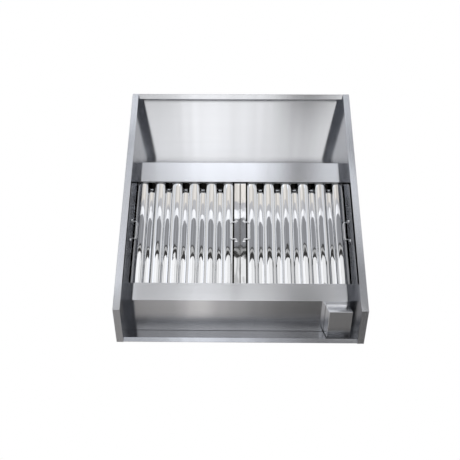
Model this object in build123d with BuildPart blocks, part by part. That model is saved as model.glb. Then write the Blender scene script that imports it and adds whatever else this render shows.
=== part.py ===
from build123d import *
from math import atan2, cos, radians, sin, tan
import os

# Wall canopy hood with a sloping underside, two baffle filters and a grease cup.
# Sizes in millimetres. X runs across the hood, +Y points to the wall and +Z points up.
# The origin is the middle of the four hanger rod holes, on top of the hanger brackets.

# Driving sizes of the casing
hood_width = 1000.0
hood_depth = 970.0
hood_height = 600.0
sheet = 1.2
lip_height = 40.0
short_edge = 146.0
side_hem = 28.5
lip_hem = 22.0
rear_hem = 20.0
rear_hem_tilt = 16.0

# Folds: the outside radius, and the gap and outside radius of an edge folded back on itself
bend = 2.0
hem_gap = 0.6
hem_bend = 1.4
fold = 10.0

# Filters and the two channels that hold them, measured from the sloping opening
filter_size = 495.0
filter_depth = 48.0
filter_gap = 0.6
filter_setback = 80.0
filter_low_end = 103.3
rail_setback = 70.0
rail_low_edge = 588.0
rail_high_edge = 684.0
rail_back_reach = 585.0
rail_clearance = 2.0
trough_setback = 76.0
trough_lip_top = 123.0
trough_rise = 91.0
trough_upstand = 60.0
slot_width = 40.0
slot_count = 10

# Baffles
baffle_count = 6
baffle_pitch = 78.0
baffle_sheet = 0.8
front_baffle_width = 48.0
front_baffle_depth = 22.0
rear_baffle_width = 44.0
rear_baffle_depth = 30.0
baffle_crown = 9.0
front_baffle_head = 591.0
rear_baffle_head = 582.0
baffle_clearance = 2.0
frame_sheet = 1.0
frame_bend = 1.5
frame_side = 25.0
frame_foot = 17.0
frame_head = 9.8
frame_back = 18.0
side_baffle = 38.0
side_baffle_lip = 28.0

# Bail handles on the filters
wire = 4.0
bail_span = 78.0
bail_reach = 24.0
bail_tail = 10.0
bail_corner = 7.0
bail_crank = 3.0
bail_standoff = 3.4
bail_inset = 16.5
bail_above_middle = 7.0
clip_bore = wire + 0.16
clip_size = 9.0
clip_length = 5.0
clip_foot = 16.0
clip_sheet = 1.5

# Grease cup, its bracket and the drain above it
cup_x = 405.0
cup_width = 95.0
cup_length = 119.5
cup_front_y = 360.5
cup_sheet = 1.0
cup_floor_z = -595.5
cup_rim_gap = 2.5
cup_rim = 10.0
cup_corner = 3.0
cup_bend = 1.5
cup_back_drop = 10.0
pull_reach = 12.0
pull_drop = 14.0
pull_inset = 1.0
slide_gap = 0.3
bracket_web = 33.5
bracket_flange = 44.0
bracket_bend = 1.5
drain_radius = 10.0
drain_flange = 5.0
drain_wall = 1.5
drain_y = 430.0
drain_drop = 12.0

# Duct spigot and hangers on the roof
duct_radius = 157.5
duct_height = 60.0
duct_flange = 22.0
duct_y = 190.0
rivet_count = 12
rivet_radius = 2.4
rivet_head = 1.6
rivet_head_radius = 4.8
rivet_edge = 1.2
hanger_x = 450.0
hanger_y = 420.0
hanger_rise = 30.0
hanger_plate = 40.0
hanger_sheet = 3.0
hanger_bend = 1.0
hanger_hole = 7.0

os.makedirs("parts", exist_ok=True)

# Derived levels
half_width = hood_width / 2
inner_half = half_width - sheet
front_y = -hood_depth / 2
rear_y = hood_depth / 2
wall_inner_y = rear_y - sheet
roof_z = -hanger_rise
ceiling_z = roof_z - sheet
bottom_z = roof_z - hood_height
corner_y = rear_y - short_edge
lip_z = roof_z - lip_height
run = corner_y - front_y
rise = lip_z - bottom_z
slope_angle = atan2(rise, run)
slope_sheet = sheet / cos(slope_angle)
hem_inner_half = half_width - side_hem
hem_depth = 2 * sheet + hem_gap
trough_floor_z = bottom_z + trough_rise


def on_slope(up, back):
    """Y and Z of a point: up along the sloping opening, and back into the hood."""
    y = corner_y - up * cos(slope_angle) + back * sin(slope_angle)
    z = bottom_z + up * sin(slope_angle) + back * cos(slope_angle)
    return (y, z)


def slope_plane(up, back, x=0.0):
    """A plane along the slope. Its X is the hood's X, its Y runs up the slope, its Z faces the cook."""
    y, z = on_slope(up, back)
    outward = (0, -sin(slope_angle), -cos(slope_angle))
    return Plane(origin=(x, y, z), x_dir=(1, 0, 0), z_dir=outward)


def save(part, label):
    """Name a finished piece and write it to its own file."""
    part.label = label
    export_step(part, f"parts/{label}.step")


# End panels: one sheet each, with hems turned in along the underside and the low rear edge
for side, label in ((-1, "end_panel_left"), (1, "end_panel_right")):
    with BuildPart() as end_panel:
        with BuildSketch(Plane.YZ.offset(side * half_width)):
            with BuildLine():
                Polyline(
                    (rear_y, roof_z),
                    (rear_y, bottom_z),
                    (corner_y, bottom_z),
                    (front_y, lip_z),
                    (front_y, roof_z),
                    close=True,
                )
            make_face()
        extrude(amount=-side * sheet)
        with BuildSketch(Plane.YZ.offset(side * inner_half)):
            with BuildLine():
                Polyline(
                    (front_y, lip_z),
                    (corner_y, bottom_z),
                    (wall_inner_y, bottom_z),
                    (wall_inner_y, bottom_z + sheet),
                    (corner_y + sheet * sin(slope_angle), bottom_z + sheet),
                    (front_y, lip_z + slope_sheet),
                    close=True,
                )
            make_face()
        extrude(amount=-side * (side_hem - sheet))
        outer_face = end_panel.faces().sort_by(Axis.X)[-1 if side > 0 else 0]
        folded = outer_face.edges().filter_by(Axis.Z, reverse=True).sort_by(Axis.Z)[:2]
        fillet(folded, bend)
    save(end_panel.part, label)

# Rear panel with a hem turned forward and a little up along its bottom edge, between the end panel hems
tilt = radians(rear_hem_tilt)
hem_tip = (rear_y - rear_hem * cos(tilt), bottom_z + rear_hem * sin(tilt))
hem_end = inner_half - hem_inner_half
end_middle = (inner_half + hem_inner_half) / 2
with BuildPart() as rear_panel:
    with BuildSketch(Plane.YZ.offset(-hem_inner_half)):
        with BuildLine():
            FilletPolyline((rear_y, roof_z), (rear_y, bottom_z), hem_tip, radius=bend)
            offset(amount=sheet, side=Side.RIGHT)
        make_face()
    extrude(amount=2 * hem_inner_half)
    with BuildSketch(Plane.XZ.offset(-wall_inner_y)):
        for end in (-1, 1):
            with Locations((end * end_middle, (roof_z + bottom_z) / 2)):
                Rectangle(hem_end, hood_height)
    extrude(amount=-sheet)
save(rear_panel.part, "rear_panel")

# Roof panel with the duct opening and its rivet holes
hanger_places = [(sx * hanger_x, sy * hanger_y) for sx in (-1, 1) for sy in (-1, 1)]
with BuildPart() as roof_panel:
    with BuildSketch(Plane.XY.offset(ceiling_z)):
        with Locations((0, (front_y + sheet + wall_inner_y) / 2)):
            Rectangle(2 * inner_half, wall_inner_y - front_y - sheet)
        with Locations((0, duct_y)):
            Circle(duct_radius, mode=Mode.SUBTRACT)
            with PolarLocations(duct_radius + duct_flange / 2, rivet_count):
                Circle(rivet_radius, mode=Mode.SUBTRACT)
    extrude(amount=sheet)
save(roof_panel.part, "roof_panel")

# Front lip: a shallow fascia with a hem turned back and a small return that stiffens it
with BuildPart() as front_lip:
    with BuildSketch(Plane.YZ.offset(-hem_inner_half)):
        with BuildLine():
            FilletPolyline(
                (front_y, roof_z),
                (front_y, lip_z),
                (front_y + lip_hem, lip_z),
                (front_y + lip_hem, lip_z + fold),
                radius=bend,
            )
            offset(amount=sheet, side=Side.LEFT)
        make_face()
    extrude(amount=2 * hem_inner_half)
    with BuildSketch(Plane.XZ.offset(-front_y)):
        for end in (-1, 1):
            with Locations((end * end_middle, (roof_z + lip_z + slope_sheet) / 2)):
                Rectangle(hem_end, lip_height - slope_sheet)
    extrude(amount=-sheet)
save(front_lip.part, "front_lip")

# Filter rail: a folded face that hangs from the roof, and a channel behind it for the filter tops
rail_back = filter_setback + filter_depth + rail_clearance
rail_top = on_slope(rail_high_edge, rail_setback)
with BuildPart() as filter_rail:
    with BuildSketch(Plane.YZ.offset(-inner_half)):
        with BuildLine():
            FilletPolyline(
                (rail_top[0] + 2 * fold, ceiling_z),
                (rail_top[0], ceiling_z),
                rail_top,
                on_slope(rail_low_edge, rail_setback),
                on_slope(rail_low_edge, rail_setback + hem_depth),
                on_slope(rail_low_edge + fold, rail_setback + hem_depth),
                radius=[bend, bend, hem_bend, hem_bend],
            )
            offset(amount=sheet, side=Side.LEFT)
        make_face()
    extrude(amount=2 * inner_half)
    with BuildSketch(Plane.YZ.offset(-inner_half)):
        with BuildLine():
            FilletPolyline(
                on_slope(rail_high_edge, rail_setback + sheet / 2),
                on_slope(rail_high_edge, rail_back + sheet),
                on_slope(rail_back_reach, rail_back + sheet),
                radius=bend,
            )
            offset(amount=sheet, side=Side.RIGHT)
        make_face()
    extrude(amount=2 * inner_half)
save(filter_rail.part, "filter_rail")

# Grease trough: lip in front of the filters, flat floor, and an upstand fixed to the rear panel
bend_up = (trough_rise - trough_setback * cos(slope_angle)) / sin(slope_angle)
bend_y = on_slope(bend_up, trough_setback)[0]
with BuildPart() as grease_trough:
    with BuildSketch(Plane.YZ.offset(-inner_half)):
        with BuildLine():
            FilletPolyline(
                (wall_inner_y, trough_floor_z + trough_upstand),
                (wall_inner_y, trough_floor_z),
                (bend_y, trough_floor_z),
                on_slope(trough_lip_top, trough_setback),
                on_slope(trough_lip_top, trough_setback + hem_depth),
                on_slope(trough_lip_top - fold, trough_setback + hem_depth),
                radius=[bend, bend, hem_bend, hem_bend],
            )
            offset(amount=sheet, side=Side.RIGHT)
        make_face()
    extrude(amount=2 * inner_half)
    with BuildSketch(Plane.XY.offset(trough_floor_z)):
        with Locations((cup_x, drain_y)):
            Circle(drain_radius)
    extrude(amount=sheet, mode=Mode.SUBTRACT)
save(grease_trough.part, "grease_trough")

# Filter ledge: a folded strip in the trough that carries the filters clear of the grease
ledge_up = filter_low_end - slide_gap
ledge_back = filter_setback + filter_depth
ledge_end = on_slope(ledge_up, ledge_back)
lip_back = trough_setback + sheet
leg_up = (corner_y + lip_back * sin(slope_angle) - ledge_end[0]) / cos(slope_angle)
leg_foot = on_slope(leg_up, lip_back)
leg_foot_z = leg_foot[1] + sheet * tan(slope_angle)
with BuildPart() as filter_ledge:
    with BuildSketch(Plane.YZ.offset(-inner_half)):
        with BuildLine():
            FilletPolyline(on_slope(ledge_up, lip_back), ledge_end, (ledge_end[0], leg_foot_z), radius=bend)
            offset(amount=sheet, side=Side.RIGHT)
        make_face()
    extrude(amount=2 * inner_half)
    with BuildSketch(Plane.XZ.offset(-leg_foot[0] - sheet)):
        with Locations((0, leg_foot[1] + fold)):
            with GridLocations(2 * inner_half / slot_count, 0, slot_count, 1):
                Rectangle(slot_width, fold)
    extrude(amount=3 * sheet, mode=Mode.SUBTRACT)
    with BuildSketch(slope_plane(ledge_up, ledge_back / 2 + trough_setback / 2).rotated((90, 0, 0))):
        with GridLocations(2 * inner_half / slot_count, 0, slot_count, 1):
            Rectangle(slot_width, 2 * fold)
    extrude(amount=2 * sheet, both=True, mode=Mode.SUBTRACT)
save(filter_ledge.part, "filter_ledge")

# Drain: a flanged tube through the trough floor, over the cup
with BuildPart() as drain_tube:
    with BuildSketch(Plane.XY.offset(trough_floor_z + sheet)):
        with Locations((cup_x, drain_y)):
            Circle(drain_radius + drain_flange)
            Circle(drain_radius - drain_wall, mode=Mode.SUBTRACT)
    extrude(amount=sheet)
    with BuildSketch(Plane.XY.offset(trough_floor_z - drain_drop)):
        with Locations((cup_x, drain_y)):
            Circle(drain_radius)
            Circle(drain_radius - drain_wall, mode=Mode.SUBTRACT)
    extrude(amount=drain_drop + sheet)
save(drain_tube.part, "drain_tube")

# Cup bracket: a shallow hat section under the trough, with flanges that the cup's rims slide on
cup_top_z = trough_floor_z - cup_rim_gap
flange_z = cup_top_z - cup_sheet - slide_gap
bracket_length = cup_length - 2 * fold
bracket_y = cup_front_y + fold
with BuildPart() as cup_bracket:
    with BuildSketch(Plane.XZ.offset(-bracket_y)):
        with BuildLine():
            FilletPolyline(
                (cup_x - bracket_flange, flange_z),
                (cup_x - bracket_web, flange_z),
                (cup_x - bracket_web, trough_floor_z),
                (cup_x + bracket_web, trough_floor_z),
                (cup_x + bracket_web, flange_z),
                (cup_x + bracket_flange, flange_z),
                radius=bracket_bend,
            )
            offset(amount=sheet, side=Side.RIGHT)
        make_face()
    extrude(amount=-bracket_length)
    with BuildSketch(Plane.XY.offset(trough_floor_z - sheet)):
        with Locations((cup_x, drain_y)):
            Circle(drain_radius)
    extrude(amount=sheet, mode=Mode.SUBTRACT)
save(cup_bracket.part, "cup_bracket")

# Grease cup: an open box whose side rims fold in over the bracket, with a hooked pull in front
cup_height = cup_top_z - cup_floor_z
cup_middle_y = cup_front_y + cup_length / 2
cup_inner_width = cup_width - 2 * cup_sheet
with BuildPart() as grease_cup:
    with BuildSketch(Plane.XY.offset(cup_floor_z)):
        with Locations((cup_x, cup_middle_y)):
            RectangleRounded(cup_width, cup_length, cup_corner)
    extrude(amount=cup_height)
    fillet(grease_cup.faces().sort_by(Axis.Z)[0].edges(), cup_bend)
    with BuildSketch(Plane.XY.offset(cup_floor_z + cup_sheet)):
        with Locations((cup_x, cup_middle_y)):
            RectangleRounded(cup_inner_width, cup_length - 2 * cup_sheet, cup_corner - cup_sheet)
    extrude(amount=cup_height - 2 * cup_sheet, mode=Mode.SUBTRACT)
    with BuildSketch(Plane.XY.offset(cup_top_z - cup_sheet)):
        with Locations((cup_x, cup_middle_y)):
            Rectangle(cup_width - 2 * cup_rim, cup_length)
    extrude(amount=cup_sheet, mode=Mode.SUBTRACT)
    with BuildSketch(Plane.XY.offset(cup_top_z - cup_back_drop)):
        with Locations((cup_x, cup_front_y + cup_length)):
            Rectangle(cup_inner_width - 2 * cup_sheet, 2 * cup_corner)
    extrude(amount=cup_back_drop, mode=Mode.SUBTRACT)
    with BuildSketch(Plane.YZ.offset(cup_x - cup_width / 2 + pull_inset)):
        with BuildLine():
            FilletPolyline(
                (cup_front_y + cup_sheet, cup_top_z),
                (cup_front_y - pull_reach, cup_top_z),
                (cup_front_y - pull_reach, cup_top_z - pull_drop),
                radius=cup_bend,
            )
            offset(amount=cup_sheet, side=Side.LEFT)
        make_face()
    extrude(amount=cup_width - 2 * pull_inset)
save(grease_cup.part, "grease_cup")

# Duct spigot: a round collar on the roof opening with a flange that is riveted down
with BuildPart() as duct_spigot:
    with BuildSketch(Plane.XY.offset(roof_z)):
        with Locations((0, duct_y)):
            Circle(duct_radius + duct_flange)
            Circle(duct_radius - sheet, mode=Mode.SUBTRACT)
            with PolarLocations(duct_radius + duct_flange / 2, rivet_count):
                Circle(rivet_radius, mode=Mode.SUBTRACT)
    extrude(amount=sheet)
    with BuildSketch(Plane.XY.offset(roof_z)):
        with Locations((0, duct_y)):
            Circle(duct_radius)
            Circle(duct_radius - sheet, mode=Mode.SUBTRACT)
    extrude(amount=duct_height)
save(duct_spigot.part, "duct_spigot")

# Spigot rivets: shanks through the flange and the roof, with a low head at each end
with BuildPart() as spigot_rivets:
    for head_z in (roof_z + sheet, ceiling_z - rivet_head):
        with BuildSketch(Plane.XY.offset(head_z)):
            with Locations((0, duct_y)):
                with PolarLocations(duct_radius + duct_flange / 2, rivet_count):
                    Circle(rivet_head_radius)
        extrude(amount=rivet_head)
    with BuildSketch(Plane.XY.offset(ceiling_z)):
        with Locations((0, duct_y)):
            with PolarLocations(duct_radius + duct_flange / 2, rivet_count):
                Circle(rivet_radius)
    extrude(amount=2 * sheet)
    fillet(spigot_rivets.faces().sort_by(Axis.Z)[-rivet_count:].edges(), rivet_edge)
save(spigot_rivets.part, "spigot_rivets")

# Hanger brackets: folded steps welded to the roof, each with a hole for a threaded rod
hanger_names = ("front_left", "rear_left", "front_right", "rear_right")
foot_top = roof_z + hanger_sheet
for (x, y), place in zip(hanger_places, hanger_names):
    toward_middle = -1 if y > 0 else 1
    step = y + toward_middle * hanger_plate / 2
    with BuildPart() as hanger:
        with BuildSketch(Plane.YZ.offset(x - hanger_plate / 2)):
            with BuildLine():
                FilletPolyline(
                    (step - toward_middle * hanger_plate, 0),
                    (step, 0),
                    (step, foot_top),
                    (step + toward_middle * hanger_plate, foot_top),
                    radius=[hanger_bend + hanger_sheet, hanger_bend],
                )
                offset(amount=hanger_sheet, side=Side.RIGHT if toward_middle > 0 else Side.LEFT)
            make_face()
        extrude(amount=hanger_plate)
        with BuildSketch(Plane.XY.offset(-hanger_sheet)):
            with Locations((x, y)):
                Circle(hanger_hole)
        extrude(amount=hanger_sheet, mode=Mode.SUBTRACT)
    save(hanger.part, f"hanger_bracket_{place}")

# Frames, baffles, clips and handles of the two filters
filter_mid_up = filter_low_end + filter_size / 2
pivot_back = filter_setback - bail_standoff
bail_up = filter_mid_up + bail_above_middle
baffle_foot = filter_low_end + baffle_clearance


def channel_sketch(width, depth):
    """A channel with a softly arched crown on the local X axis and straight legs towards -Y."""
    with BuildSketch(Plane.XY) as channel:
        for inset, cut in ((0, Mode.ADD), (baffle_sheet, Mode.SUBTRACT)):
            with Locations((0, -baffle_crown)):
                Ellipse(width / 2 - inset, baffle_crown - inset, mode=cut)
        with Locations((0, -depth)):
            Rectangle(width, 2 * (depth - baffle_crown), mode=Mode.SUBTRACT)
        for leg in (-1, 1):
            with Locations((leg * (width - baffle_sheet) / 2, -(depth + baffle_crown) / 2)):
                Rectangle(baffle_sheet, depth - baffle_crown)
    return channel.sketch


def baffle_planes(filter_x, count, crown_back, turn):
    """Planes across the slope at the low ends of a row of baffles, evenly set about the filter's middle."""
    y, z = on_slope(baffle_foot, crown_back)
    up = (0, -cos(slope_angle), sin(slope_angle))
    places = [filter_x + (index - (count - 1) / 2) * baffle_pitch for index in range(count)]
    return [Plane(origin=(x, y, z), x_dir=(turn, 0, 0), z_dir=up) for x in places]


front_profile = channel_sketch(front_baffle_width, front_baffle_depth)
rear_profile = channel_sketch(rear_baffle_width, rear_baffle_depth)
rear_crown_back = filter_setback + filter_depth - frame_sheet
filter_offset = (filter_size + filter_gap) / 2

for side, label in ((-1, "left"), (1, "right")):
    filter_x = side * filter_offset
    with BuildPart() as filter_frame:
        with BuildSketch(slope_plane(filter_mid_up, filter_setback, filter_x)):
            Rectangle(filter_size, filter_size)
            Rectangle(filter_size - 2 * frame_sheet, filter_size - 2 * frame_sheet, mode=Mode.SUBTRACT)
        extrude(amount=-filter_depth)
        with BuildSketch(slope_plane(filter_mid_up, filter_setback, filter_x)):
            Rectangle(filter_size, filter_size)
            with Locations((0, (frame_foot - frame_head) / 2)):
                Rectangle(
                    filter_size - 2 * frame_side,
                    filter_size - frame_foot - frame_head,
                    mode=Mode.SUBTRACT,
                )
        extrude(amount=-frame_sheet)
        back_plane = slope_plane(filter_mid_up, filter_setback + filter_depth, filter_x)
        with BuildSketch(back_plane):
            Rectangle(filter_size, filter_size)
            Rectangle(filter_size - 2 * side_baffle, filter_size - 2 * frame_back, mode=Mode.SUBTRACT)
        extrude(amount=frame_sheet)
        with BuildSketch(back_plane):
            for edge in (-1, 1):
                with Locations((edge * (filter_size / 2 - side_baffle + frame_sheet / 2), 0)):
                    Rectangle(frame_sheet, filter_size - 2 * frame_back)
        extrude(amount=side_baffle_lip)
        front_face = filter_frame.faces().sort_by(Axis((0, 0, 0), slope_plane(0, 0).z_dir))[-1]
        fillet(front_face.outer_wire().edges(), frame_bend)
    save(filter_frame.part, f"filter_frame_{label}")

    with BuildPart() as front_baffles:
        for plane in baffle_planes(filter_x, baffle_count, filter_setback + frame_sheet, -1):
            with BuildSketch(plane):
                add(front_profile)
            extrude(amount=front_baffle_head - baffle_foot)
    save(front_baffles.part, f"front_baffles_{label}")

    with BuildPart() as rear_baffles:
        for plane in baffle_planes(filter_x, baffle_count - 1, rear_crown_back, 1):
            with BuildSketch(plane):
                add(rear_profile)
            extrude(amount=rear_baffle_head - baffle_foot)
    save(rear_baffles.part, f"rear_baffles_{label}")

    with BuildPart() as handle_clips:
        for edge in (-1, 1):
            pivot_x = filter_x + edge * (filter_size / 2 - bail_inset)
            for end in (-1, 1):
                eye_up = bail_up + end * (bail_span / 2 + bail_tail - clip_length / 2)
                y, z = on_slope(eye_up, pivot_back)
                up = (0, -cos(slope_angle), sin(slope_angle))
                with BuildSketch(Plane(origin=(pivot_x, y, z), x_dir=(-1, 0, 0), z_dir=up)):
                    with BuildLine():
                        half = clip_size / 2
                        foot = -bail_standoff
                        Line((half, 0), (half, foot + clip_sheet))
                        Line((half, foot + clip_sheet), (clip_foot / 2, foot + clip_sheet))
                        Line((clip_foot / 2, foot + clip_sheet), (clip_foot / 2, foot))
                        Line((clip_foot / 2, foot), (-clip_foot / 2, foot))
                        Line((-clip_foot / 2, foot), (-clip_foot / 2, foot + clip_sheet))
                        Line((-clip_foot / 2, foot + clip_sheet), (-half, foot + clip_sheet))
                        Line((-half, foot + clip_sheet), (-half, 0))
                        ThreePointArc((-half, 0), (0, half), (half, 0))
                    make_face()
                    Circle(clip_bore / 2, mode=Mode.SUBTRACT)
                extrude(amount=clip_length / 2, both=True)
    save(handle_clips.part, f"handle_clips_{label}")

    for edge, where in ((-side, "inner"), (side, "outer")):
        pivot_x = filter_x + edge * (filter_size / 2 - bail_inset)
        grip_x = -edge * bail_reach
        start = -bail_span / 2 - bail_tail
        with BuildPart() as handle:
            bail_plane = slope_plane(bail_up, pivot_back, pivot_x)
            with BuildLine(bail_plane):
                route = FilletPolyline(
                    (0, start),
                    (0, -bail_span / 2),
                    (grip_x, -bail_span / 2),
                    (grip_x, bail_span / 2),
                    (0, bail_span / 2),
                    (0, -start),
                    radius=[bail_crank, bail_corner, bail_corner, bail_crank],
                )
            with BuildSketch(Plane(origin=route @ 0, z_dir=route % 0)):
                Circle(wire / 2)
            sweep(path=route)
        save(handle.part, f"filter_handle_{label}_{where}")
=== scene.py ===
import math

import bmesh
import bpy
from mathutils import Matrix, Vector

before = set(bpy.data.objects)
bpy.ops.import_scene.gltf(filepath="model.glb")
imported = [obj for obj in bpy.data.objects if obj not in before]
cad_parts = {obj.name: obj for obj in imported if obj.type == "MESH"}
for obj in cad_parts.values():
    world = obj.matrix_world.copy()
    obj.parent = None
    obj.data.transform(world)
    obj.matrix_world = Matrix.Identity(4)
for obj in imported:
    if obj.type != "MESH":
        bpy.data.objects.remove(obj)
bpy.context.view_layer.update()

# End panels. Each is one sheet of brushed stainless steel. Its sloping edge and its short lower
# edge are folded in as wide hems, and it is spot welded to the roof and the rear panel. The
# polishing belt ran along the sloping edge.


def linear(hex_colour):
    """An sRGB hex colour as linear RGBA."""
    parts = [int(hex_colour[i:i + 2], 16) / 255 for i in (1, 3, 5)]
    return [p / 12.92 if p <= 0.04045 else ((p + 0.055) / 1.055) ** 2.4 for p in parts] + [1.0]


def node(tree, kind, inputs=(), **settings):
    """Adds a node, sets its properties, then sets or links its inputs by name."""
    made = tree.nodes.new(kind)
    for key, value in settings.items():
        setattr(made, key, value)
    for key, value in dict(inputs).items():
        if isinstance(value, bpy.types.NodeSocket):
            tree.links.new(value, made.inputs[key])
        else:
            made.inputs[key].default_value = value
    return made


def rolled_steel(name, colours, roughness, spread, mark_mm, along, tilt=0.0, skew=0.0, smear=1.0, inner=None):
    """Steel with the marks of its rolling or polishing. mark_mm is the size of one mark in X, Y and Z.
    The marks vary the tint between two colours, the roughness by its spread, and a fine bump. The
    gloss is smeared square to the direction along. skew bends the marks round a folded edge, and
    inner is the axis, place and colour of a darker inside face, painted shade for the dim inside of
    the hood."""
    cloud_mm = 143.0
    mark_depth = 0.000002
    face_tolerance = 0.0004
    material = bpy.data.materials.new(name)
    material.use_nodes = True
    tree = material.node_tree
    tree.nodes.clear()
    place = node(tree, "ShaderNodeTexCoord").outputs["Object"]
    if skew:
        inward = node(tree, "ShaderNodeVectorMath", {0: place}, operation="ABSOLUTE").outputs[0]
        inward = node(tree, "ShaderNodeSeparateXYZ", {"Vector": inward}).outputs["X"]
        shift = node(tree, "ShaderNodeMath", {0: inward, 1: skew}, operation="MULTIPLY").outputs[0]
        shift = node(tree, "ShaderNodeCombineXYZ", {"Y": shift}).outputs[0]
        place = node(tree, "ShaderNodeVectorMath", {0: place, 1: shift}, operation="ADD").outputs[0]
    turned = node(tree, "ShaderNodeMapping", {"Vector": place, "Rotation": (tilt, 0, 0)}).outputs[0]
    drawn = node(tree, "ShaderNodeMapping", {
        "Vector": turned, "Scale": [1000 / size for size in mark_mm]}).outputs[0]
    marks = node(tree, "ShaderNodeTexNoise", {"Vector": drawn, "Scale": 1.0, "Detail": 3.0}).outputs["Fac"]
    cloud = node(tree, "ShaderNodeTexNoise", {
        "Vector": place, "Scale": 1000 / cloud_mm, "Detail": 2.0}).outputs["Fac"]
    mixed = node(tree, "ShaderNodeMix", {"Factor": 0.35, "A": marks, "B": cloud}).outputs[0]
    rough = node(tree, "ShaderNodeMapRange", {
        "Value": mixed, "From Min": 0.3, "From Max": 0.7,
        "To Min": roughness - spread, "To Max": roughness + spread}).outputs[0]
    tint = node(tree, "ShaderNodeMix", {
        "Factor": marks, "A": linear(colours[0]), "B": linear(colours[1])}, data_type="RGBA").outputs["Result"]
    # The inside face's darker tint is painted shade for the dim inside of the hood.
    if inner:
        axis, distance, shade_tint = inner
        face = node(tree, "ShaderNodeVectorMath", {0: place}, operation="ABSOLUTE").outputs[0]
        face = node(tree, "ShaderNodeSeparateXYZ", {"Vector": face}).outputs[axis]
        face = node(tree, "ShaderNodeMath", {
            0: face, 1: distance, 2: face_tolerance}, operation="COMPARE").outputs[0]
        tint = node(tree, "ShaderNodeMix", {
            "Factor": face, "A": tint, "B": linear(shade_tint)}, data_type="RGBA").outputs["Result"]
    bump = node(tree, "ShaderNodeBump", {"Height": marks, "Strength": 0.3, "Distance": mark_depth}).outputs[0]
    facing = node(tree, "ShaderNodeNewGeometry").outputs["Normal"]
    across = node(tree, "ShaderNodeVectorMath", {0: facing, 1: along}, operation="CROSS_PRODUCT").outputs[0]
    shader = node(tree, "ShaderNodeBsdfPrincipled", {
        "Base Color": tint, "Metallic": 1.0, "Roughness": rough, "Normal": bump,
        "Anisotropic": smear, "Tangent": across})
    out = node(tree, "ShaderNodeOutputMaterial")
    tree.links.new(shader.outputs[0], out.inputs["Surface"])
    return material


def dress(material, *names):
    """Gives CAD nodes a finished material in place of their plain one."""
    for name in names:
        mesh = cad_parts[name].data
        mesh.materials.clear()
        mesh.materials.append(material)


# Brushed stainless steel mirrors almost sharply along its belt marks and smears what it mirrors
# across them. Real belt marks are about 0.2 mm wide, too fine to show, so they are drawn 3.3 mm
# wide and 333 mm long. The inside face is tinted a darker grey, painted shade for the dim inside
# of the hood.
sheet = 0.0012
half_width = 0.5
slope = math.atan2(560, 824)
for side, inward in (("left", 1), ("right", -1)):
    panel_steel = rolled_steel(
        f"brushed_stainless_{side}", ("#c9cacd", "#d3d4d7"), roughness=0.17, spread=0.01,
        mark_mm=(3.33, 3.33, 333), along=(inward * math.cos(slope), 0, -1), skew=math.sin(slope),
        inner=("X", half_width - sheet, "#a0a1a4"))
    dress(panel_steel, f"end_panel_{side}")

# Roof panel and front lip. They are brushed stainless sheets folded at their edges, whose belt
# marks run across the hood, and they are spot welded to the end panels and to each other.
across_hood = (1, 0.03, 0.02)

# Their gloss is the end panels' one, smeared front to back. The marks' direction is a little off
# square to the hood's end faces, because the smear has no direction on a face square to it.
cross_steel = rolled_steel(
    "brushed_stainless_across", ("#c9cacd", "#d2d3d6"), roughness=0.17, spread=0.008,
    mark_mm=(333, 3.33, 3.33), along=across_hood)
dress(cross_steel, "roof_panel", "front_lip")

# Rear panel. It is the same brushed sheet, folded forward at its foot as a hem, and it hangs flat
# on the wall. Its inside face is tinted a darker grey than bare steel, painted shade for the dim
# inside of the hood, which darkens what it mirrors too.
half_depth = 0.485
wall_steel = rolled_steel(
    "brushed_stainless_wall", ("#c9cacd", "#d2d3d6"), roughness=0.17, spread=0.008,
    mark_mm=(333, 3.33, 3.33), along=across_hood, inner=("Y", half_depth - sheet, "#9a9b9e"))
dress(wall_steel, "rear_panel")

# Filter rail, grease trough, its ledge and the cup's bracket. They are channels folded from a
# slightly brighter brushed sheet and welded between the end panels. To the eye they are the
# roof's steel with a cleaner, lighter gloss. Their 0.2 mm belt marks are drawn 3.1 mm wide.
channel_steel = rolled_steel(
    "brushed_stainless_channel", ("#cccdd0", "#d5d6d9"), roughness=0.17, spread=0.008,
    mark_mm=(333, 3.13, 3.13), along=across_hood)
dress(channel_steel, "filter_rail", "grease_trough", "filter_ledge", "cup_bracket")

# Drain tube. It is a stainless tube turned on a lathe and set through the trough's floor above
# the cup. Its turning marks run round it, about 2.5 mm apart, and glint as fine rings.
tube_steel = rolled_steel(
    "turned_stainless", ("#cfd1d4", "#e0e1e4"), roughness=0.2, spread=0.05,
    mark_mm=(16.7, 16.7, 2.5), along=(0.03, 0.02, 1))
dress(tube_steel, "drain_tube")

# Grease cup. It is folded from bright rolled stainless sheet with a hooked pull at the front, and
# its rim slides on the bracket. Bright rolled sheet is lighter and a little glossier than brushed
# sheet. Its rolling marks, too fine to show at 0.1 mm, are drawn 3.8 mm wide.
cup_steel = rolled_steel(
    "bright_rolled_stainless", ("#e6e7ea", "#eeeff1"), roughness=0.16, spread=0.01,
    mark_mm=(250, 3.85, 3.85), along=across_hood)
dress(cup_steel, "grease_cup")

# Duct spigot, its rivets and the four hanger brackets on the roof. They are pressed from hot-dip
# galvanised steel, which gives a soft grey gloss, mottled by zinc spangle. Real spangle is 5 to
# 15 mm across. It is drawn 17 mm across, so that it shows.
zinc = rolled_steel(
    "galvanised_steel", ("#a9adb1", "#c9ccd0"), roughness=0.38, spread=0.08,
    mark_mm=(16.7, 16.7, 16.7), along=(1, 0, 0), smear=0.0)
dress(zinc, "duct_spigot", "spigot_rivets", "hanger_bracket_front_left", "hanger_bracket_rear_left",
      "hanger_bracket_front_right", "hanger_bracket_rear_right")

# Filters. Each is a frame of thin bright annealed stainless that holds a front and a rear row of
# roll-formed baffles, with clips for its handles. It rests in the trough and the rail.


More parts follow.
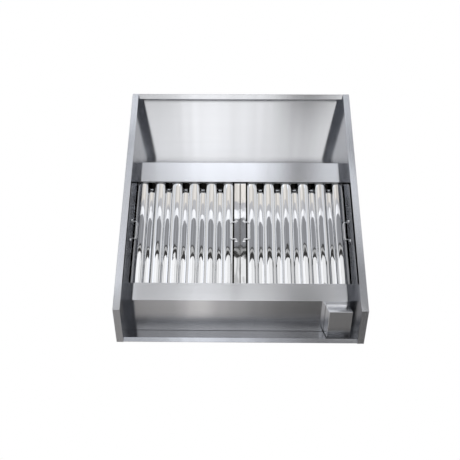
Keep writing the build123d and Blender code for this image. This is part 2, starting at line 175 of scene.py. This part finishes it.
def waved_steel(name, colours, roughness, shade_depths=None):
    """Thin mirror sheet. Where the two depths are given, a dark tint is painted as shade on what lies
    deeper than they do behind the filters' front, and in the seam between the filters."""
    wave_mm = (38.5, 83.3, 38.5)
    wave_height = 0.0006
    seam_half_width = 0.0022
    material = rolled_steel(name, colours, roughness, spread=0.01, mark_mm=(4.55, 500, 4.55),
                            along=up_slope, tilt=slope, smear=0.3)
    tree = material.node_tree
    shader = next(n for n in tree.nodes if n.type == "BSDF_PRINCIPLED")
    place = node(tree, "ShaderNodeTexCoord").outputs["Object"]
    turned = node(tree, "ShaderNodeMapping", {"Vector": place, "Rotation": (slope, 0, 0)}).outputs[0]
    drawn = node(tree, "ShaderNodeMapping", {
        "Vector": turned, "Scale": [1000 / size for size in wave_mm]}).outputs[0]
    waves = node(tree, "ShaderNodeTexNoise", {"Vector": drawn, "Scale": 1.0, "Detail": 1.0}).outputs["Fac"]
    marked = shader.inputs["Normal"].links[0].from_socket
    bump = node(tree, "ShaderNodeBump", {
        "Height": waves, "Strength": 1.0, "Distance": wave_height, "Normal": marked}).outputs[0]
    tree.links.new(bump, shader.inputs["Normal"])
    # The dark tint #3c3a38 is painted shade deep inside the frame and in the seam between the filters.
    if shade_depths:
        depth = node(tree, "ShaderNodeSeparateXYZ", {"Vector": turned}).outputs["Z"]
        shade_mask = node(tree, "ShaderNodeMapRange", {
            "Value": depth, "From Min": shade_depths[0], "From Max": shade_depths[1]}).outputs[0]
        across = node(tree, "ShaderNodeSeparateXYZ", {"Vector": place}).outputs["X"]
        seam = node(tree, "ShaderNodeMath", {
            0: across, 1: 0.0, 2: seam_half_width}, operation="COMPARE").outputs[0]
        shade_mask = node(tree, "ShaderNodeMath", {0: shade_mask, 1: seam}, operation="MAXIMUM").outputs[0]
        unshaded_colour = shader.inputs["Base Color"].links[0].from_socket
        shaded_colour = node(tree, "ShaderNodeMix", {
            "Factor": shade_mask, "A": unshaded_colour, "B": linear("#3c3a38")}, data_type="RGBA").outputs["Result"]
        tree.links.new(shaded_colour, shader.inputs["Base Color"])
    return material


# Bright annealed sheet is nearly a mirror. Forming left waves some 38 mm wide and 83 mm long in
# it, which bend its reflections, and faint marks 0.3 mm wide, drawn 4.5 mm wide to show. Depth is
# measured from the sloping opening, which starts at the short lower edge's front end.
up_slope = (0.03, -math.cos(slope), math.sin(slope))
opening_y, opening_z = 0.339, -0.63
opening_level = opening_y * math.sin(slope) + opening_z * math.cos(slope)
mirror_steel = waved_steel("bright_annealed_stainless", ("#dcdddf", "#ecedef"), roughness=0.035)
# The frame's dark tint, from 82 mm behind the opening inward and along the seam between the filters, is painted
# shade.
frame_steel = waved_steel("bright_frame_stainless", ("#dcdddf", "#ecedef"), roughness=0.04,
                          shade_depths=(opening_level + 0.082, opening_level + 0.088))
for side in ("left", "right"):
    dress(mirror_steel, f"front_baffles_{side}", f"rear_baffles_{side}", f"handle_clips_{side}")
    dress(frame_steel, f"filter_frame_{side}")

# Bail handles. Each is a length of bright drawn stainless wire, 4 mm thick, bent to a loop whose
# ends turn in two clips on the filter's frame. Drawn wire has a soft, very light gloss, and its
# die marks are drawn as 8 mm patches, since they are too fine to show.
wire_steel = rolled_steel(
    "bright_drawn_wire", ("#eeeff1", "#f8f8f9"), roughness=0.32, spread=0.04,
    mark_mm=(8.33, 8.33, 8.33), along=up_slope, smear=0.0)
for side in ("left", "right"):
    dress(wire_steel, f"filter_handle_{side}_inner", f"filter_handle_{side}_outer")

# Floor. It is a plain pale studio floor, painted matt, well below the hood and the camera. Where
# it is seen or mirrored, three quarters of its tone glow evenly, as a lit studio floor does, and
# the rest takes the light and the hood's faint shadow.
floor_half = 12.0
floor_level = -4.0
floor_mesh = bpy.data.meshes.new("studio_floor")
floor_form = bmesh.new()
bmesh.ops.create_grid(floor_form, x_segments=1, y_segments=1, size=floor_half)
bmesh.ops.translate(floor_form, verts=floor_form.verts, vec=(0, 0, floor_level))
floor_form.to_mesh(floor_mesh)
floor_form.free()
floor = bpy.data.objects.new("studio_floor", floor_mesh)
bpy.context.scene.collection.objects.link(floor)
floor_material = bpy.data.materials.new("pale_studio_floor")
floor_material.use_nodes = True
floor_tree = floor_material.node_tree
floor_shader = floor_tree.nodes["Principled BSDF"]
floor_shader.inputs["Base Color"].default_value = linear("#c9c8c6")
floor_shader.inputs["Roughness"].default_value = 0.9


def background_rays(tree):
    """1 for the rays that show the background: to the camera, in a gloss or through glass."""
    rays = node(tree, "ShaderNodeLightPath").outputs
    seen = node(tree, "ShaderNodeMath", {
        0: rays["Is Camera Ray"], 1: rays["Is Glossy Ray"]}, operation="MAXIMUM").outputs[0]
    return node(tree, "ShaderNodeMath", {
        0: seen, 1: rays["Is Transmission Ray"]}, operation="MAXIMUM").outputs[0]


glow = node(floor_tree, "ShaderNodeMath", {
    0: background_rays(floor_tree), 1: 0.75}, operation="MULTIPLY").outputs[0]
pale = node(floor_tree, "ShaderNodeEmission", {"Color": linear("#f6f6f6"), "Strength": 1.0}).outputs[0]
floor_mix = node(floor_tree, "ShaderNodeMixShader", {"Fac": glow})
floor_tree.links.new(floor_shader.outputs[0], floor_mix.inputs[1])
floor_tree.links.new(pale, floor_mix.inputs[2])
floor_tree.links.new(floor_mix.outputs[0], floor_tree.nodes["Material Output"].inputs["Surface"])
floor_mesh.materials.append(floor_material)

# Backs of the two rigs of soft boxes. A real soft box is shut behind by dark cloth, and a lamp
# here is not, so a matt cloth a little larger than each rig hangs just behind it. Past the two
# cloths, which no camera sees, the steel mirrors the pale floor and the white background.
weave_mm = 2.0
cloth_material = bpy.data.materials.new("dark_back_cloth")
cloth_material.use_nodes = True
cloth_tree = cloth_material.node_tree
cloth_shader = cloth_tree.nodes["Principled BSDF"]
cloth_weave = node(cloth_tree, "ShaderNodeTexNoise", {"Scale": 1000 / weave_mm}).outputs["Fac"]
cloth_tint = node(cloth_tree, "ShaderNodeMix", {
    "Factor": cloth_weave, "A": linear("#403f3d"), "B": linear("#4e4c4a")}, data_type="RGBA").outputs["Result"]
cloth_tree.links.new(cloth_tint, cloth_shader.inputs["Base Color"])
cloth_shader.inputs["Roughness"].default_value = 0.95
for name, half_cloth, (near_y, near_z), (far_y, far_z) in (
        ("floor_rig_back", 1.55, (-1.4, -2.48), (2.4, -2.48)),
        ("front_rig_back", 2.4, (-2.03, -3.86), (-4.4, -0.33))):
    corners = ((-half_cloth, near_y, near_z), (half_cloth, near_y, near_z),
               (half_cloth, far_y, far_z), (-half_cloth, far_y, far_z))
    cloth_mesh = bpy.data.meshes.new(name)
    cloth_mesh.from_pydata(corners, [], [(0, 1, 2, 3)])
    cloth_mesh.materials.append(cloth_material)
    cloth = bpy.data.objects.new(name, cloth_mesh)
    cloth.visible_camera = False
    bpy.context.scene.collection.objects.link(cloth)

# Light. Two rigs of soft boxes, below the hood and leaning in front of it, are what its steel
# mirrors. Each box is bright or dim where the room around such a hood would be. Three weak boxes
# above, beside and behind it lift its outside.


def soft_box(name, place, size, bands, facing, tint="#ffffff"):
    """A soft box whose width stays level with X. Its brightness changes along X as a room's does,
    through bands given as X and strength. Faint folds, 62 mm apart, run along its height."""
    folds_per_metre = 16.0
    light = bpy.data.lights.new(name, "AREA")
    light.shape = "RECTANGLE"
    light.size = size[0]
    light.size_y = size[1]
    light.energy = math.pi * size[0] * size[1]
    light.color = linear(tint)[:3]
    light.use_nodes = True
    tree = light.node_tree
    across = node(tree, "ShaderNodeNewGeometry").outputs["Parametric"]
    across = node(tree, "ShaderNodeSeparateXYZ", {"Vector": across}).outputs["X"]
    peak = max(strength for x, strength in bands)
    ramp = node(tree, "ShaderNodeValToRGB", {"Fac": across})
    ramp.color_ramp.interpolation = "EASE"
    stops = ramp.color_ramp.elements
    stops.remove(stops[1])
    for index, (x, strength) in enumerate(bands):
        spot = (x - place[0]) / size[0] + 0.5
        stop = stops.new(spot) if index else stops[0]
        stop.position = spot
        stop.color = [strength / peak] * 3 + [1.0]
    folds = node(tree, "ShaderNodeTexNoise", {
        "W": across, "Scale": folds_per_metre * size[0], "Detail": 3.0}, noise_dimensions="1D").outputs["Fac"]
    folds = node(tree, "ShaderNodeMapRange", {
        "Value": folds, "From Min": 0.3, "From Max": 0.7,
        "To Min": 0.87 * peak, "To Max": 1.13 * peak}).outputs[0]
    power = node(tree, "ShaderNodeMath", {0: ramp.outputs["Color"], 1: folds}, operation="MULTIPLY").outputs[0]
    tree.links.new(power, tree.nodes["Emission"].inputs["Strength"])
    lamp = bpy.data.objects.new(name, light)
    behind = -Vector(facing).normalized()
    sideways = Vector((1, 0, 0))
    sideways = (sideways - behind * sideways.dot(behind)).normalized()
    axes = Matrix((sideways, behind.cross(sideways), behind)).transposed()
    lamp.matrix_world = Matrix.Translation(place) @ axes.to_4x4()
    lamp.visible_camera = False
    bpy.context.scene.collection.objects.link(lamp)


# The front rig leans back by wall_tilt and faces the height aim_level in the middle of the hood
# from wall_distance away. Each row gives a box's middle in X, its width, its low and high edge up
# the rig from there, its tint and its bands. The topmost box has no back cloth.
wall_tilt = math.radians(34)
wall_distance = 3.6
aim_level = -0.4
wall_middle = Vector((0, -wall_distance * math.cos(wall_tilt), aim_level - wall_distance * math.sin(wall_tilt)))
wall_up = Vector((0, -math.sin(wall_tilt), math.cos(wall_tilt)))
wall_facing = Vector((0, math.cos(wall_tilt), math.sin(wall_tilt)))
for name, middle_x, width, low, high, tint, bands in (
        ("front_top", 0.0, 4.8, 2.5, 4.6, "#f6f9ff", ((0.0, 0.45),)),
        ("front_peak", 0.0, 3.2, 1.2, 1.9, "#f4f8ff",
         ((-1.6, 1.9), (-1.3, 1.2), (-0.5, 2.2), (0.2, 2.2), (0.9, 0.6), (1.6, 1.3))),
        ("front_high", 0.0, 3.2, 0.6, 1.05, "#f4f8ff",
         ((-1.35, 0.8), (-1.12, 1.6), (-0.5, 2.45), (0.2, 2.45), (0.55, 1.8), (0.95, 0.38), (1.45, 1.5))),
        ("front_cream", 0.0, 3.2, 0.3, 0.6, "#fffaf3",
         ((-1.6, 0.6), (-0.9, 0.8), (-0.4, 0.95), (0.2, 0.95), (0.9, 0.6), (1.4, 0.75))),
        ("front_gap", 0.0, 3.2, 0.19, 0.3, "#fbfbff",
         ((-1.6, 0.45), (-0.4, 0.6), (0.2, 0.6), (1.4, 0.5))),
        ("front_upper", 0.0, 3.2, 0.06, 0.19, "#fbfcff",
         ((-1.6, 0.75), (-0.9, 1.1), (-0.4, 1.25), (0.2, 1.25), (0.9, 0.85), (1.4, 1.0))),
        ("front_middle", 0.0, 3.2, -0.37, 0.06, "#f3f5fb",
         ((-0.9, 0.3), (-0.35, 0.42), (0.05, 0.27), (0.4, 0.34), (0.9, 0.32))),
        ("front_edge", 0.0, 3.2, -0.46, -0.4, "#ffffff",
         ((-0.9, 0.45), (-0.35, 0.65), (0.05, 0.4), (0.9, 0.5))),
        ("front_lower", 0.0, 3.2, -1.0, -0.54, "#fbfbfb",
         ((-1.2, 1.15), (-0.5, 1.25), (-0.15, 1.15), (0.02, 0.6), (0.15, 1.05), (1.2, 1.0))),
        ("front_low", 0.0, 3.2, -1.7, -1.0, "#f6f9ff",
         ((-1.4, 0.26), (-0.85, 0.5), (-0.54, 0.8), (-0.2, 0.45), (0.05, 0.2), (0.2, 0.3), (0.55, 0.03),
          (1.2, 0.12))),
        ("left_side_high", -2.0, 0.8, 1.2, 2.4, "#f6f9ff", ((-2.0, 1.5),)),
        ("left_side_middle", -2.0, 0.8, -0.3, 0.85, "#f6f9ff", ((-2.0, 0.92),)),
        ("left_side_low", -2.0, 0.8, -1.7, -0.3, "#f6f9ff", ((-2.0, 1.3),)),
        ("right_side_high", 2.0, 0.8, 1.25, 2.4, "#f6f9ff", ((2.0, 1.05),)),
        ("right_side_middle", 2.0, 0.8, -0.5, 0.82, "#f6f9ff", ((2.0, 0.88),)),
        ("right_side_low", 2.0, 0.8, -1.7, -0.6, "#f6f9ff", ((2.0, 0.3),))):
    middle = wall_middle + wall_up * (low + high) / 2
    middle.x = middle_x
    soft_box(name, middle, (width, high - low), bands, wall_facing, tint)

# The floor rig lies level below the hood. Each row gives a box's middle and length in Y.
rig_level = -2.45
rig_width = 2.9
for name, middle_y, length, tint, bands in (
        ("under_front", -0.95, 0.7, "#ffffff",
         ((-1.2, 0.72), (-0.85, 0.9), (-0.45, 1.5), (0.24, 1.35), (0.8, 0.12), (1.35, 1.1))),
        ("under", -0.2, 0.8, "#ffffff",
         ((-1.3, 1.18), (-0.7, 1.26), (-0.38, 1.48), (-0.05, 1.34), (0.5, 1.22), (0.85, 1.16), (1.15, 1.4))),
        ("under_back", 0.5, 0.6, "#eef4ff",
         ((-1.2, 0.5), (-0.85, 0.6), (-0.36, 1.15), (0.04, 0.9), (0.43, 0.4), (0.75, 0.12))),
        ("rear", 1.55, 1.5, "#fffaf5",
         ((-1.2, 0.26), (-0.7, 0.36), (-0.36, 0.78), (-0.18, 0.45), (0.25, 0.22), (0.5, 0.12), (0.9, 0.07)))):
    soft_box(name, (0, middle_y, rig_level), (rig_width, length), bands, (0, 0, 1), tint)
soft_box("top_box", (-0.8, -0.5, 2.4), (2.4, 2.4), ((0.0, 0.35),), (0.8, 0.5, -2.6))
soft_box("side_box", (3.2, -1.2, 0.6), (2.0, 2.0), ((3.2, 0.2),), (-3.2, 1.2, -0.9))
soft_box("back_box", (0, 5.0, 0.6), (5.0, 3.0), ((0.0, 0.15),), (0, -5.0, -0.8))

# Sky. It lights matt surfaces as a soft grey studio ceiling does, brighter overhead than low
# down. Where it is seen or mirrored, it is the plain white background.
world = bpy.data.worlds.new("studio_world")
bpy.context.scene.world = world
world.use_nodes = True
sky_tree = world.node_tree
sky_tree.nodes.clear()
toward = node(sky_tree, "ShaderNodeTexCoord").outputs["Generated"]
height = node(sky_tree, "ShaderNodeSeparateXYZ", {"Vector": toward}).outputs["Z"]
level = node(sky_tree, "ShaderNodeMapRange", {
    "Value": height, "From Min": -0.2, "From Max": 0.4, "To Min": 0.06, "To Max": 0.6}).outputs[0]
soft = node(sky_tree, "ShaderNodeBackground", {"Color": linear("#f4f4f6"), "Strength": level}).outputs[0]
white = node(sky_tree, "ShaderNodeBackground", {"Color": linear("#ffffff"), "Strength": 1.0}).outputs[0]
sky = node(sky_tree, "ShaderNodeMixShader", {"Fac": background_rays(sky_tree)})
sky_tree.links.new(soft, sky.inputs[1])
sky_tree.links.new(white, sky.inputs[2])
sky_out = node(sky_tree, "ShaderNodeOutputWorld")
sky_tree.links.new(sky.outputs[0], sky_out.inputs["Surface"])

# Camera. It stands below the hood and looks steeply up at its open, sloping side, which puts the
# wall edge at the foot of the picture. Lens, shift and place were fitted to the hood's edges.
camera_data = bpy.data.cameras.new("photo_camera")
camera_data.sensor_width = 36
camera_data.lens = 25.83
camera_data.shift_x = -0.0033
camera_data.shift_y = 0.0761
camera = bpy.data.objects.new("photo_camera", camera_data)
ahead = Vector((-0.00636, 0.34453, 0.93875)).normalized()
upright = Vector((-0.00615, -0.93877, 0.34449)).normalized()
aside = ahead.cross(upright).normalized()
upright = aside.cross(ahead)
turn = Matrix((aside, upright, -ahead)).transposed()
camera.matrix_world = Matrix.Translation((-0.0276, -0.2692, -1.7731)) @ turn.to_4x4()
bpy.context.scene.collection.objects.link(camera)
bpy.context.scene.camera = camera
bpy.context.scene.view_settings.view_transform = "Standard"
